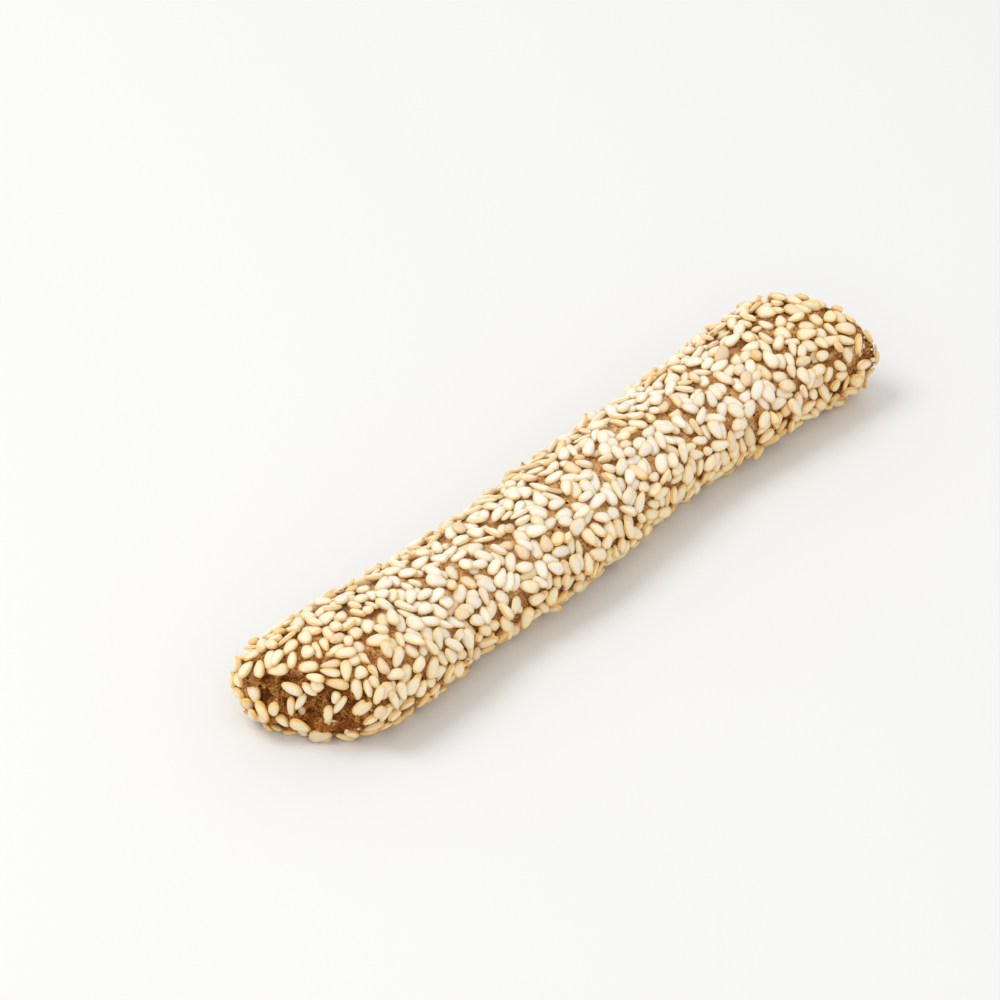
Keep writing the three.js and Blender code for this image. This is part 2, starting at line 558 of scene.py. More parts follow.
# seeds laid one by one round the two ends of the stick, mostly at places worked out from where the camera
# sees their ends: place and angle of one end of the seed and of its other end, and its width in mm
laidSeeds = [
    (-1.55, 22, -1.443, 43, 1.2), (-1.637, 41, -1.441, 53, 1.9), (-1.31, 59, -1.566, 59, 1.8),
    (-1.554, 81, -1.605, 60, 1.6), (-1.561, 85, -1.338, 78, 1.4), (-1.162, 72, -1.372, 71, 1.7),
    (-1.072, 68, -1.257, 60, 1.9), (-1.387, 52, -1.001, 35, 1.8), (-1.169, 34, -1.187, 18, 2.3),
    (-1.42, 105, -1.525, 90, 1.7), (-1.241, 116, -1.421, 107, 1.2), (-1.371, 125, -1.471, 111, 1.2),
    (-1.543, 121, -1.582, 103, 1.3), (-1.692, 130, -1.607, 113, 1.8), (-1.425, 141, -1.564, 123, 1.5),
    (-1.195, 117, -1.398, 135, 1.6), (-1.063, 122, -1.218, 121, 1.5), (-1.095, 131, -1.27, 136, 1.9),
    (-1.298, 136, -1.435, 161, 1.7), (-1.187, 141, -1.267, 161, 1.2), (-1.098, 140, -1.104, 154, 1.4),
    (-1.04, 131, -0.994, 149, 1.6), (-0.909, 153, -0.983, 148, 1.7), (-1.822, 117, -1.77, 75, 1.9),
    (-1.707, 105, -1.765, 136, 1.4), (-1.771, 349, -1.714, 300, 1.5), (-1.927, 11, -1.768, 301, 1.6),
    (-1.94, 99, -1.829, 270, 1.2), (-1.834, 124, -1.934, 239, 1.2), (-1.732, 166, -1.653, 221, 1.4),
    (-1.586, 145, -1.683, 162, 1.4), (-1.545, 154, -1.694, 192, 1.2), (-1.293, 166, -1.517, 188, 2.2),
    (-1.095, 173, -1.275, 185, 1.6), (-1.004, 157, -0.971, 187, 1.3), (-1.674, 20, -1.711, 333, 2.0),
    (-1.51, 357, -1.412, 335, 2.3), (-1.394, 12, -1.55, 6, 2.2), (-1.783, 294, -1.642, 275, 1.7),
    (-1.758, 271, -1.623, 250, 2.3), (-1.458, 257, -1.394, 239, 2.3), (-1.213, 187, -1.329, 204, 1.3),
    (-1.054, 197, -1.139, 217, 1.8), (-1.315, 29, -1.274, 9, 2.3), (-1.183, 77, -1.06, 77, 2.2),
    (-1.321, 84, -1.283, 95, 1.9), (-1.165, 86, -1.329, 102, 1.2), (-1.077, 88, -1.231, 102, 1.3),
    (-0.988, 98, -1.141, 99, 1.5), (-1.042, 106, -1.264, 104, 1.6), (-1.016, 110, -0.976, 115, 2.0),
    (-1.047, 118, -0.975, 133, 1.5), (-0.976, 99, -0.934, 102, 2.3), (-0.942, 121, -0.932, 137, 1.5),
    (-0.896, 123, -0.96, 112, 2.1), (-0.848, 120, -0.876, 135, 1.4), (-0.883, 133, -0.935, 145, 1.8),
    (-0.945, 157, -0.94, 179, 1.7), (-1.037, 150, -1.247, 170, 1.4), (-0.888, 118, -0.902, 106, 2.3),
    (-0.978, 81, -1.083, 96, 1.9), (-1.003, 65, -1.014, 82, 2.2), (-0.993, 55, -1.037, 49, 2.3),
    (0.993, 58, 0.957, 79, 1.5), (0.993, 69, 0.981, 88, 1.8), (0.94, 80, 0.927, 100, 1.8),
    (0.957, 83, 0.965, 99, 1.5), (0.858, 97, 0.906, 82, 1.7), (0.889, 95, 0.86, 109, 1.6),
    (0.894, 104, 0.917, 114, 1.9), (0.947, 102, 0.939, 115, 1.8), (0.837, 95, 0.843, 109, 2.0),
    (0.916, 116, 0.912, 127, 2.0), (0.948, 116, 0.94, 132, 1.4), (0.973, 109, 0.976, 119, 2.3),
    (0.994, 136, 0.957, 124, 2.2), (0.852, 119, 0.873, 132, 2.1), (0.886, 123, 0.891, 137, 1.6),
    (0.929, 133, 0.965, 147, 1.4), (0.985, 141, 0.953, 159, 1.2), (0.896, 138, 0.935, 146, 1.8),
    (0.942, 146, 0.927, 163, 2.0), (0.827, 114, 0.806, 126, 1.2), (0.847, 121, 0.815, 131, 1.5),
    (0.769, 115, 0.75, 130, 2.1), (0.796, 119, 0.773, 135, 1.4), (0.789, 133, 0.837, 137, 1.6),
    (0.797, 151, 0.858, 149, 1.9), (0.876, 156, 0.829, 164, 1.5), (0.884, 153, 0.909, 167, 1.5),
    (0.939, 169, 0.988, 179, 1.7), (0.875, 169, 0.912, 177, 1.8), (0.935, 177, 0.935, 200, 2.3),
    (0.758, 130, 0.751, 143, 1.5), (0.771, 137, 0.776, 155, 1.7), (0.748, 151, 0.778, 173, 1.5),
    (0.819, 164, 0.84, 192, 1.9), (0.863, 171, 0.87, 186, 1.8), (0.891, 186, 0.96, 209, 1.8),
    (0.743, 157, 0.737, 181, 1.7), (0.702, 156, 0.727, 183, 1.7), (0.656, 155, 0.699, 158, 1.9),
    (0.789, 165, 0.801, 180, 1.5), (1.2, 143, 1.18, 158, 1.5), (1.15, 171, 1.1, 188, 1.6),
    (1.075, 194, 1.01, 210, 1.6), (1.19, 106, 1.21, 120, 1.7),
]

# bare patches of dough: place, angle and reach in mm
bareSpots = [
    (-0.62, 115, 2.1), (-0.66, 134, 1.2), (-0.81, 104, 0.9), (-0.4, 124, 1.2), (-0.14, 85, 1.1),
    (0, 100, 0.8), (0.05, 141, 1.3), (-0.27, 138, 0.9), (-0.48, 139, 0.9), (0.63, 156, 1.1),
    (0.43, 119, 0.9), (0.25, 126, 0.9), (-0.11, 132, 0.5), (0.14, 159, 0.5), (0.01, 120, 0.5),
    (1.0, 163, 2.5), (-1.4, 226, 1.5), (0.37, 25, 1.4), (-0.32, 22, 1.5), (-0.75, 25, 1.3),
    (0.68, 50, 1.2), (0.1, 33, 1.0),
]


def seedShape(variant):
    draw = np.random.default_rng(variant + 70)
    form = {name: draw.uniform(*reach) for name, reach in seedForm.items()}
    mesh = newMesh("seedShape", bmesh.ops.create_uvsphere, **seed["sphere"])
    x, y, z = coordinates(mesh).T
    out = np.hypot(x, y)
    turned = np.arctan2(y, x)
    power = seed["squareness"]
    fuller = (np.abs(np.cos(turned)) ** power + np.abs(np.sin(turned)) ** power) ** (-1 / power)
    x, y = x * fuller, y * fuller
    tip = np.maximum(x, 0)
    wide = y * (1 - form["narrow"] * x + form["blunt"] * x * x) + form["bend"] * x * x
    full = np.sign(z) * np.abs(z) ** seed["fullness"] * (1 - 0.15 * x)
    full -= np.sign(z) * form["hollow"] * np.exp(-((out / 0.55) ** 2))
    long = x + form["point"] * tip**5 - seed["leanMost"] * y * form["lean"]
    points = np.stack([long / 2, wide / 2, full / 2 + form["curl"] * x * x / 2], axis=-1)
    points *= 1 + draw.uniform(*seed["uneven"], points.shape)
    moveTo(mesh, points)
    mesh.shade_smooth()
    # high, how far up its own faces a point lies, carries the seed's painted shade
    addValues(mesh, "high", z)
    addValues(mesh, "along", x)
    for name in ("tone", "toast"):  # filled in for each seed when they are joined
        addValues(mesh, name, np.zeros(len(points)))
    return mesh


def brokenShape(variant):
    # a seed broken across, with a flat broken face
    mesh = seedShape(variant)
    with reshaping(mesh) as shape:
        cut = bmesh.ops.bisect_plane(
            shape, geom=shape.verts[:] + shape.edges[:] + shape.faces[:],
            plane_co=seed["brokenAt"], plane_no=seed["brokenFaces"], clear_outer=True)
        rim = [edge for edge in cut["geom_cut"] if isinstance(edge, bmesh.types.BMEdge)]
        bmesh.ops.holes_fill(shape, edges=rim, sides=0)
        bmesh.ops.triangulate(shape, faces=[face for face in shape.faces if len(face.verts) > 4])
    return mesh


def areaSpread(mesh, count, weight):
    # the middles of random faces, picked by area and weight; count is how many there are at full weight
    areas = np.array([face.area for face in mesh.polygons])
    middles = np.array([face.center for face in mesh.polygons])
    chance = areas * weight(middles, np.array([face.normal for face in mesh.polygons]))
    picked = rng.choice(len(areas), size=int(count * chance.sum() / areas.sum()), p=chance / chance.sum())
    return middles[picked]


def bareRows():
    # the middles of the bare patches, and their reaches in mm
    return onStick(bareSpots), np.array(bareSpots)[:, 2]


def liesOnCut(outward, name):
    return onCut(outward, name) > seed["onCut"]


def clearOfTorn(points, margin=0.0):
    return fromTorn(points) > dough["tornReach"][1] + margin


def tiltMatrices(rolls, pitches):
    one, none = np.ones_like(rolls), np.zeros_like(rolls)
    cos, sin = np.cos(rolls), np.sin(rolls)
    roll = np.array([[one, none, none], [none, cos, -sin], [none, sin, cos]]).transpose(2, 0, 1)
    cos, sin = np.cos(pitches), np.sin(pitches)
    pitch = np.array([[cos, none, sin], [none, one, none], [-sin, none, cos]]).transpose(2, 0, 1)
    return pitch @ roll


def ringSpots(out, count):
    # points of a unit seed's underside, at a share of the way out to its rim
    angles = (np.arange(count) + 0.5) * 2 * math.pi / count
    depth = (1 - out * out) ** (seed["fullness"] / 2)
    return [(out * math.cos(a), out * math.sin(a), -depth) for a in angles]


undersideSpots = np.array(ringSpots(1.0, 8) + ringSpots(0.88, 8) + ringSpots(0.5, 5) + ringSpots(0.0, 1))

# where the dough's height is felt round a seed, along it and across it
groundSpots = [(x * mm, y * mm) for x, y in (
    (0, 0), (1.3, 0), (-1.3, 0), (0, 0.8), (0, -0.8), (0.9, 0.6), (-0.9, 0.6), (0.9, -0.6), (-0.9, -0.6),
)]


class SeedBed:
    # the seeds on the smooth dough: each one's place, normal, heading and size, and where it came to lie

    def __init__(self, tree, places, laidEnds, laidWidths):
        self.tree = tree
        ends = laidEnds[:, 1] - laidEnds[:, 0]
        self.places = np.concatenate([laidEnds.mean(1), places])
        self.count = len(self.places)
        self.fixed = np.arange(self.count) < len(laidEnds)
        self.normals = np.zeros_like(self.places)
        self.settle(np.arange(self.count))
        loose = unit(np.cross(self.normals, rng.normal(size=self.places.shape)))
        lie = np.array(seed["lie"]) * rng.choice([-1, 1], self.count)[:, None] * seed["lieWeight"]
        ways = loose + lie
        ways[self.fixed] = ends
        self.headings = self.flattened(ways)
        self.length, self.width, self.thick = (self.vary(size) for size in ("length", "width", "thickness"))
        laidLengths = np.linalg.norm(ends, axis=-1) * seed["laidLarger"]
        self.length[self.fixed] = np.clip(laidLengths, *seed["laidLength"])
        self.width[self.fixed] = laidWidths * seed["laidLarger"]
        self.onEdge = (rng.random(self.count) < seed["onEdge"]) & ~self.fixed
        self.centres = np.zeros_like(self.places)
        self.axes = np.zeros((self.count, 3, 3))
        self.lift = np.zeros(self.count)
        self.laid = np.zeros(self.count, bool)

    def vary(self, size):
        most = seed["spreadMost"]
        return seed[size] * (1 + rng.normal(0, seed[size + "Spread"], self.count).clip(-most, most))

    def flattened(self, ways):
        return unit(ways - self.normals * (ways * self.normals).sum(-1, keepdims=True))

    def settle(self, which):
        for i in which:
            spot, normal, _, _ = self.tree.find_nearest(Vector(self.places[i]))
            self.places[i] = spot
            self.normals[i] = normal

    def neighbours(self, reach):
        apart = np.linalg.norm(self.places[:, None] - self.places[None], axis=-1)
        return np.nonzero(np.triu(apart < reach, 1))

    def arms(self):
        return self.headings[:, None] * (self.length[:, None] * np.array(seed["discs"]))[..., None]

    def pushApart(self):
        # each seed is three discs in a row, and discs that overlap push their seeds apart and round
        across = np.where(self.onEdge, self.thick, self.width)
        radii = seed["slack"] * across[:, None] / 2 * np.array(seed["discSizes"])
        bare, reaches = bareRows()
        bareReach = reaches * seed["bareShare"] * mm + seed["width"] * seed["bareBeside"]
        loose = np.nonzero(~self.fixed)[0]
        for step in range(seed["rounds"]):
            if step % seed["searchRounds"] == 0:
                first, second = self.neighbours(seed["length"] * seed["searchReach"])
            arms = self.arms()
            discs = self.places[:, None] + arms
            gap = discs[first][:, :, None] - discs[second][:, None, :]
            apart = np.linalg.norm(gap, axis=-1)
            over = np.maximum(radii[first][:, :, None] + radii[second][:, None, :] - apart, 0)
            push = gap / np.maximum(apart, 1e-9)[..., None] * over[..., None] * seed["push"]
            moves = np.zeros_like(self.places)
            turns = np.zeros_like(self.places)
            np.add.at(moves, first, push.sum((1, 2)) * 0.5)
            np.add.at(moves, second, -push.sum((1, 2)) * 0.5)
            np.add.at(turns, first, np.cross(arms[first], push.sum(2)).sum(1))
            np.add.at(turns, second, np.cross(arms[second], -push.sum(1)).sum(1))
            away = self.places[:, None] - bare
            off = np.linalg.norm(away, axis=-1)
            inside = np.maximum(bareReach - off, 0) * seed["barePush"]
            moves += (away / off[..., None] * inside[..., None]).sum(1)
            self.places[loose] += moves[loose]
            self.settle(loose)
            spin = (turns * self.normals).sum(-1) / (seed["length"] ** 2 * seed["turnWeight"])
            spin[self.fixed] = 0
            spin = np.clip(spin, -seed["turnMost"], seed["turnMost"])
            side = np.cross(self.normals, self.headings)
            self.headings = self.flattened(self.headings + side * spin[:, None])

    def thinCuts(self):
        # loose seeds that ended up on the near cut or the torn patch go, and so do some on the far cut
        near = liesOnCut(self.normals, "nearFaces")
        far = liesOnCut(self.normals, "farFaces") & (rng.random(self.count) > seed["farCutShare"])
        clear = clearOfTorn(self.places, seed["clearOfTorn"])
        self.keepOnly(self.fixed | (clear & ~near & ~far))

    def fillGaps(self, spots):
        # one more seed goes into each gap, turned the way that overlaps its neighbours least
        discs = (self.places[:, None] + self.arms()).reshape(-1, 3)
        radii = np.repeat(self.width / 2, 3)
        count, arm = seed["fillWays"], seed["fillArm"]

        def room(spot, step=0.0):
            return (np.linalg.norm(discs - spot - step, axis=-1) - radii).min()

        ends = []
        for spot in spots:
            if room(spot) < seed["gap"]:
                continue
            normal = np.array(self.tree.find_nearest(Vector(spot))[1])
            loose = unit(np.cross(normal, rng.normal(size=(count, 3))))
            ways = loose * rng.uniform(*seed["fillLength"]) / 2
            rooms = [room(spot, way * arm) for way in (*ways, *-ways)]
            best = ways[np.argmax(np.minimum(rooms[:count], rooms[count:]))]
            ends.append((spot - best, spot + best))
            discs = np.concatenate([discs, [spot - best * arm, spot, spot + best * arm]])
            radii = np.append(radii, [seed["fillWidth"][0] / 2] * 3)
        ends = np.array(ends).reshape(-1, 2, 3)
        fill = SeedBed(self.tree, np.empty((0, 3)), ends, rng.uniform(*seed["fillWidth"], len(ends)))
        fill.fixed[:] = False
        self.change(lambda name, values: np.concatenate([values, getattr(fill, name)]))

    def groundAt(self, i, rough):
        # the rough dough's height round a seed, as a quadratic over its own plane
        normal = self.normals[i]
        sideways = np.cross(normal, self.headings[i])
        rows, heights = [], []
        for x, y in groundSpots:
            start = self.places[i] + self.headings[i] * x + sideways * y + normal * seed["length"]
            spot, _, _, _ = rough.ray_cast(Vector(start), Vector(-normal))
            if spot is not None:
                rows.append((1, x * x, x * y, y * y))
                heights.append((np.array(spot) - self.places[i]) @ normal)
        return np.linalg.lstsq(np.array(rows), np.array(heights), rcond=None)[0]

    def drop(self, rough):
        # one after another each new seed is laid down, tilted the way that brings its middle lowest
        for i in rng.permutation(np.nonzero(~self.laid)[0]):
            normal = self.normals[i]
            heading = self.headings[i]
            flat = np.stack([heading, np.cross(normal, heading), normal], axis=-1)
            half = self.halves()[i]
            rolls = rng.normal(0, seed["tilt"], seed["tries"])
            pitches = rng.normal(0, seed["tilt"], seed["tries"])
            rolls[0] = pitches[0] = 0
            if self.onEdge[i]:
                rolls = rng.uniform(*seed["edgeRoll"], seed["tries"]) * rng.choice([-1, 1])
            turned = flat @ tiltMatrices(rolls, pitches)
            under = (turned @ (undersideSpots * half).T).transpose(0, 2, 1)
            local = under @ flat
            x, y = local[..., 0], local[..., 1]
            level, xx, xy, yy = self.groundAt(i, rough)
            embed = rng.uniform(*seed["embed"])
            need = level + xx * x * x + xy * x * y + yy * y * y - local[..., 2] - embed
            apart = np.linalg.norm(self.places - self.places[i], axis=-1)
            for j in np.nonzero(self.laid & (apart < seed["length"] * seed["layReach"]))[0]:
                need = np.maximum(need, self.overSeed(j, self.places[i] + under, normal))
            lifts = need.max(1)
            best = np.argmin(lifts + seed["tiltCost"] * (rolls**2 * (not self.onEdge[i]) + pitches**2))
            self.lift[i] = lifts[best]
            self.centres[i] = self.places[i] + normal * lifts[best]
            self.axes[i] = turned[best]
            self.laid[i] = True

    def dropPerched(self):
        # seeds that came to lie high up on others are taken away, as they would have rolled off
        self.keepOnly(self.lift < np.where(self.fixed, seed["highestFixed"], seed["highest"]))

    def halves(self):
        return np.stack([self.length, self.width, self.thick], axis=-1) / 2

    def keepOnly(self, keep):
        self.change(lambda name, values: values[keep])

    def change(self, how):
        # the same is done to every array that holds a row for each seed
        for name, values in vars(self).items():
            if isinstance(values, np.ndarray):
                setattr(self, name, how(name, values))
        self.count = len(self.places)

    def overSeed(self, j, points, normal):
        # how far points have to rise along normal to clear seed j, taken as an ellipsoid
        half = self.halves()[j]
        start = ((points - self.centres[j]) @ self.axes[j]) / half
        way = (normal @ self.axes[j]) / half
        square = way @ way
        along = start @ way
        inside = along**2 - square * ((start * start).sum(-1) - 1)
        rise = (-along + np.sqrt(np.maximum(inside, 0))) / square
        return np.where(inside > 0, rise, -1.0)

    def keepInside(self, low, high):
        # seeds that would stand out too far are pressed in
        reach = np.sqrt(((self.axes * self.halves()[:, None, :]) ** 2).sum(-1))
        self.centres += np.maximum(low - (self.centres - reach), 0)
        self.centres -= np.maximum(self.centres + reach - high, 0)


def outerLimits():
    aside, above = stick["roomAside"], stick["roomAbove"]
    low = np.array([cadLow.x - aside, cadLow.y - aside, 0])
    high = np.array([cadHigh.x + aside, cadHigh.y + aside, cadHigh.z + above])
    return low, high


def laySeeds(smooth, rough):
    smoothTree = BVHTree.FromPolygons(*polygonsOf(smooth))
    roughTree = BVHTree.FromPolygons(*polygonsOf(rough))
    rows = np.array(laidSeeds)
    laidEnds = stickPoints(rows[:, [0, 2]], np.radians(rows[:, [1, 3]]))
    laidMiddles = laidEnds.mean(1)

    def coverage(middles, outward):
        # how thickly the dough is strewn
        apart = np.linalg.norm(middles[:, None] - laidMiddles, axis=-1).min(1)
        free = clearOfTorn(middles) & (apart > seed["clearOfLaid"]) & ~liesOnCut(outward, "nearFaces")
        return free * np.where(liesOnCut(outward, "farFaces"), seed["farCutSpread"], 1.0)

    def fillable(middles, outward):
        bare, reaches = bareRows()
        apart = np.linalg.norm(middles[:, None] - bare, axis=-1) - reaches * mm
        cut = np.maximum(onCut(outward, "nearFaces"), onCut(outward, "farFaces"))
        free = clearOfTorn(middles, seed["fillClearOfTorn"]) & (cut < seed["fillOnCut"])
        return free & (apart.min(1) > seed["fillClearOfBare"])

    area = sum(face.area for face in smooth.polygons)
    places = areaSpread(smooth, area * seed["perArea"], coverage)
    bed = SeedBed(smoothTree, places, laidEnds, rows[:, 4] * mm)
    print("scene: seeds to lay", bed.count)
    bed.pushApart()
    bed.thinCuts()
    print("scene: seeds spread", bed.count)
    bed.drop(roughTree)
    bed.dropPerched()
    bed.fillGaps(areaSpread(smooth, seed["fillTries"], fillable))
    print("scene: seeds with the gaps filled", bed.count)
    bed.drop(roughTree)
    bed.dropPerched()
    bed.keepInside(*outerLimits())
    print("scene: seeds laid", bed.count, "mean lift in mm %.2f" % (bed.lift.mean() / mm))
    return bed, roughTree


def polygonsOf(mesh):
    return [v.co.copy() for v in mesh.vertices], [tuple(face.vertices) for face in mesh.polygons]


def placedMatrix(axes, sizes, centre):
    return Matrix.Translation(centre) @ Matrix(axes * sizes).to_4x4()


def joined(name, parts):
    # one mesh of many small ones, each with its own square of the UV map and a margin round it
    whole = bmesh.new()
    squares = math.ceil(math.sqrt(len(parts)))
    margin = 0.05
    for k, (shape, matrix, values) in enumerate(parts):
        part = shape.copy()
        part.transform(matrix)
        for layer, value in values.items():
            part.attributes[layer].data.foreach_set("value", np.full(len(part.vertices), value, np.float32))
        corners = part.uv_layers["OFBake"].data
        flat = np.empty(len(corners) * 2, dtype=np.float32)
        corners.foreach_get("uv", flat)
        square = np.array([k % squares, k // squares])
        flat = (flat.reshape(-1, 2) * (1 - 2 * margin) + margin + square) / squares
        corners.foreach_set("uv", flat.ravel().astype(np.float32))
        whole.from_mesh(part)
        bpy.data.meshes.remove(part)
    mesh = bpy.data.meshes.new(name)
    whole.to_mesh(mesh)
    whole.free()
    moveTo(mesh, np.clip(coordinates(mesh), *outerLimits()))
    return mesh


# share of the seeds, tone from 0 for pale to 1 for golden and 2 for dull, and how brown they are toasted
seedKinds = {
    "seedsPale": {"share": 0.52, "tone": (0.0, 0.3), "toast": (0.0, 0.35)},
    "seedsGolden": {"share": 0.36, "tone": (0.1, 0.58), "toast": (0.15, 0.6)},
    "seedsToasted": {"share": 0.04, "tone": (0.6, 1.0), "toast": (0.55, 1.0)},
    "seedsDull": {"share": 0.05, "tone": (1.2, 1.8), "toast": (0.0, 0.3)},
    "seedsBroken": {"share": 0.03, "tone": (0.2, 0.8), "toast": (0.1, 0.5)},
}


def seedMaterial(name):
    shader = Shader(name, {
        "Subsurface Weight": 0.6,
        "Subsurface Radius": (1.0, 0.85, 0.4),
        "Subsurface Scale": 0.6 * mm,
        "Specular IOR Level": 0.45,
    })
    high, along = shader.attribute("high"), shader.attribute("along")
    tone, toast = shader.attribute("tone"), shader.attribute("toast")
    mottle = shader.grain(0.8 * mm, 2.0, 0.5)
    fine = shader.grain(0.22 * mm, 2.0, 0.6)
    # the seed's colour over its height: the golden rim band is partly the seed's own yellow margin and
    # partly painted shade and glow where seeds meet
    depth = high * 0.5 + 0.5 + 0.36 * (mottle - 0.5)
    positions = (0.2, 0.52, 0.62, 0.69, 0.77, 0.92)  # from under the rim up to the middle of the face; the underside and sides are painted darker and golden as shade, the middle paler as lit
    pale = shader.ramp(depth, positions, [
        (246, 227, 190), (246, 224, 182), (245, 218, 170),
        (244, 218, 172), (249, 233, 209), (251, 240, 227),
    ])
    golden = shader.ramp(depth, positions, [
        (245, 211, 148), (243, 204, 134), (239, 193, 114),
        (232, 181, 98), (245, 213, 156), (249, 230, 192),
    ])
    toned = shader.mix(shader.fade(tone, 0.0, 0.95), pale, golden)
    dulled = shader.mix(shader.fade(tone, 1.0, 1.6) * 0.55, toned, colour(222, 198, 166))
    ends = shader.fade(along, 0.6, 1.0)
    burnt = shader.fade(toast * (0.6 + 0.9 * ends) + 0.5 * (mottle - 0.5), 0.3, 1.1)
    browned = shader.mix(burnt * 0.8, dulled, colour(220, 160, 78))
    eye = shader.fade(toast * shader.fade(along, 0.86, 0.98), 0.25, 0.55)
    done = shader.mix(eye * 0.8, browned, colour(128, 70, 26))
    return shader.finish(done, 0.36 + 0.16 * fine, mottle + 0.4 * fine, 0.1 * mm)


def buildSeeds(bed, material):
    whole = [seedShape(variant) for variant in range(seed["variants"])]
    broken = [brokenShape(variant) for variant in seed["brokenVariants"]]
    kinds = list(seedKinds)
    pick = rng.choice(len(kinds), size=bed.count, p=[seedKinds[kind]["share"] for kind in kinds])
    for k, kind in enumerate(kinds):
        shapes = broken if kind == "seedsBroken" else whole
        parts = []
        for i in np.nonzero(pick == k)[0]:
            sizes = (bed.length[i], bed.width[i], bed.thick[i])
            # seeds near the ends are more golden and toasted where baked more; low down this is partly
            # painted shade of the underside
            baked = bakedMoreAndShadedLow(bed.places[i], seed["bakedEndShare"])
            tone = rng.uniform(*seedKinds[kind]["tone"])
            values = {
                "tone": tone + baked * max(0, 1 - tone),
                "toast": rng.uniform(*seedKinds[kind]["toast"]) + seed["bakedAndShadedToast"] * baked,
            }
            matrix = placedMatrix(bed.axes[i], sizes, bed.centres[i])
            parts.append((shapes[rng.integers(len(shapes))], matrix, values))
        mesh = joined(kind, parts)
        addPiece(kind, mesh, material)
        print("scene:", kind, len(parts), "seeds", len(mesh.polygons), "faces")


# small crumbs between the seeds: some laid by place and angle, and more strewn at random
crumbKinds = {
    "crumbsGold": {
        "paint": (colour(236, 206, 120), colour(206, 158, 60)),
        "size": (0.35 * mm, 0.75 * mm),
        "laid": [(-0.127, 131), (-0.096, 132), (0.139, 159), (0.875, 114), (0.868, 111), (0.835, 120)],
        "strewn": 26,
    },
    "crumbsBrown": {
        "paint": (colour(176, 104, 40), colour(112, 58, 20)),
        "size": (0.35 * mm, 0.8 * mm),
        "laid": [(0.007, 120), (-0.737, 140), (-0.07, 59), (-0.004, 83), (-1.627, 21), (-1.65, 20)],
        "strewn": 40,
    },
    "crumbsWhite": {
        "paint": (colour(254, 248, 234), colour(240, 222, 188)),
        "size": (0.4 * mm, 0.85 * mm),
        "laid": [
            (0.981, 154), (0.968, 161), (0.973, 153), (0.976, 156), (0.964, 163), (0.998, 179),
            (0.996, 193), (0.944, 184), (0.996, 150), (0.994, 173), (0.978, 197), (1.049, 145),
            (1.02, 165), (1.01, 186), (-1.42, 221), (-1.403, 226), (-1.354, 212), (-1.666, 133),
        ],
        "strewn": 20,
    },
}
crumb = {
    "variants": 5,
    "lump": 0.6,
    "stretch": (0.6, 1.1),
    "raised": 0.3,  # how far its middle lies over the dough, in sizes
}


def onDough(tree, smooth, laid, strewn):
    # points of the rough dough at the places given and at random ones, with the way that they face
    loose = areaSpread(smooth, strewn, lambda middles, outward: np.ones(len(middles)))
    for start in np.concatenate([onStick(laid), loose]):
        spot, _, _, _ = tree.find_nearest(Vector(start))
        inner = np.array([np.clip(start[0], *stick["axisEnds"]), 0, stick["axisHeight"]])
        yield np.array(spot), unit(start - inner)


def crumbShape(variant):
    draw = np.random.default_rng(variant + 30)
    mesh = newMesh("crumbShape", bmesh.ops.create_icosphere, subdivisions=2, radius=0.5)
    points = coordinates(mesh)
    lumps = 0.8 + 0.7 * noiseAt(points, crumb["lump"], 2, 4.0 * variant)
    moveTo(mesh, points * (lumps[:, None] * draw.uniform(*crumb["stretch"], 3)))
    return mesh


def crumbMaterial(name, paint):
    shader = Shader(name, {"Subsurface Weight": 0.2, "Subsurface Scale": 0.3 * mm})
    mottle = shader.grain(0.4 * mm, 2.0, 0.6)
    fine = shader.grain(0.15 * mm, 1.0, 0.5)
    mixed = shader.mix(shader.fade(mottle, 0.35, 0.65), *paint)
    return shader.finish(mixed, 0.5 + 0.2 * fine, fine, 0.05 * mm)


def buildCrumbs(tree, smooth):
    shapes = [crumbShape(variant) for variant in range(crumb["variants"])]
    for kind, made in crumbKinds.items():
        parts = []
        for spot, normal in onDough(tree, smooth, made["laid"], made["strewn"]):
            size = rng.uniform(*made["size"])
            turn = np.linalg.qr(rng.normal(size=(3, 3)))[0]
            matrix = placedMatrix(turn, size, spot + normal * size * crumb["raised"])
            parts.append((shapes[rng.integers(len(shapes))], matrix, {}))
        addPiece(kind, joined(kind, parts), crumbMaterial(kind, made["paint"]))


# thin flakes of seed skin: some laid by place and angle, and more strewn at random
husk = {
    "laid": [
        (-1.88, 237), (-1.673, 209), (-1.702, 258), (-1.218, 203), (1.1, 167),
        (1.039, 202), (0.957, 190), (0.95, 153), (0.848, 136),
    ],
    "strewn": 24,
    "variants": 6,
    "laidSize": (1.4 * mm, 2.2 * mm),
    "strewnSize": (0.8 * mm, 1.5 * mm),
    "thickness": 0.04,  # share of the size
    "width": (0.26, 0.4),
    "uneven": (-0.1, 0.1),
    "curlAlong": (0.0, 0.2),
    "curlAcross": (0.1, 0.35),
    "curlUneven": (-0.05, 0.05),
    "curlShare": 0.4,
    "tilt": 0.15,
    "lift": 0.12 * mm,
    "liftSpread": (0.3, 1.6),
    "alpha": 0.85,
}


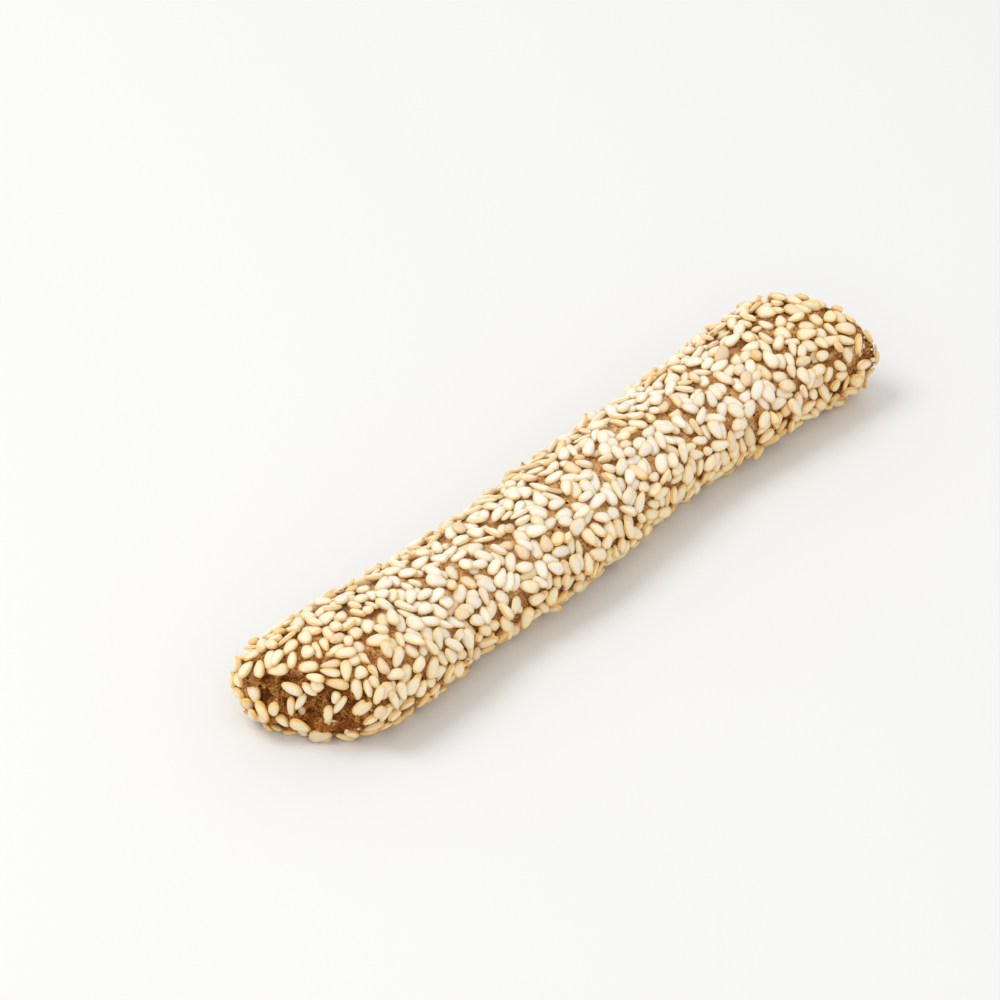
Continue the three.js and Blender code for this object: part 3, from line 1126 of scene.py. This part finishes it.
def huskShape(variant):
    # a square sheet pulled round into an oval, curled along and across
    draw = np.random.default_rng(variant + 50)
    mesh = newMesh("huskShape", bmesh.ops.create_grid, x_segments=6, y_segments=5, size=0.5)
    x, y, _ = (2 * coordinates(mesh)).T
    long, wide = x * np.sqrt(1 - y * y / 2), y * np.sqrt(1 - x * x / 2)
    ragged = 1 + draw.uniform(*husk["uneven"], len(x))
    curl = draw.uniform(*husk["curlAlong"]) * x * x + draw.uniform(*husk["curlAcross"]) * y * y
    curl += draw.uniform(*husk["curlUneven"], len(x))
    width = draw.uniform(*husk["width"])
    moveTo(mesh, np.stack([long * ragged / 2, wide * ragged * width, curl * husk["curlShare"]], axis=-1))
    with reshaping(mesh) as shape:
        bmesh.ops.solidify(shape, geom=shape.faces[:], thickness=husk["thickness"])
    mesh.shade_smooth()
    return mesh


def huskMaterial(name):
    shader = Shader(name, {"Alpha": husk["alpha"], "Subsurface Weight": 0.3, "Subsurface Scale": 0.3 * mm})
    mottle = shader.grain(0.6 * mm, 3.0, 0.6)
    skin = shader.mix(shader.fade(mottle, 0.3, 0.7), colour(242, 226, 192), colour(220, 182, 126))
    return shader.finish(skin, 0.35 + 0.2 * mottle, mottle, 0.06 * mm)


def buildHusks(tree, smooth):
    shapes = [huskShape(variant) for variant in range(husk["variants"])]
    parts = []
    for k, (spot, normal) in enumerate(onDough(tree, smooth, husk["laid"], husk["strewn"])):
        size = rng.uniform(*husk["laidSize" if k < len(husk["laid"]) else "strewnSize"])
        heading = unit(np.cross(normal, rng.normal(size=3)))
        flat = np.stack([heading, np.cross(normal, heading), normal], axis=-1)
        roll, pitch = rng.normal(0, husk["tilt"], 1), rng.normal(0, husk["tilt"], 1)
        turned = flat @ tiltMatrices(roll, pitch)[0]
        lift = normal * husk["lift"] * rng.uniform(*husk["liftSpread"])
        parts.append((shapes[rng.integers(len(shapes))], placedMatrix(turned, size, spot + lift), {}))
    addPiece("huskFlakes", joined("huskFlakes", parts), huskMaterial("huskSkin"))
    print("scene: husks", len(parts))


paper = {
    "size": 3,
    "look": {"Base Color": (0.825, 0.825, 0.815, 1), "Specular IOR Level": 0.1, "Roughness": 0.9},
}


def addFloor():
    mesh = newMesh("floor", bmesh.ops.create_grid, x_segments=1, y_segments=1, size=paper["size"])
    mesh.materials.append(Shader("paper", paper["look"]).material)
    addObject("floor", mesh)


print("scene: form and helpers ready")
addCamera()
addLights()

smooth = smoothDough()
rough = smooth.copy()
rough.name = "dough"
roughenDough(rough)
addPiece("dough", rough, doughMaterial())
print("scene: dough", len(rough.polygons), "faces")

bed, doughTree = laySeeds(smooth, rough)
buildSeeds(bed, seedMaterial("sesame"))
buildCrumbs(doughTree, smooth)
buildHusks(doughTree, smooth)
addFloor()
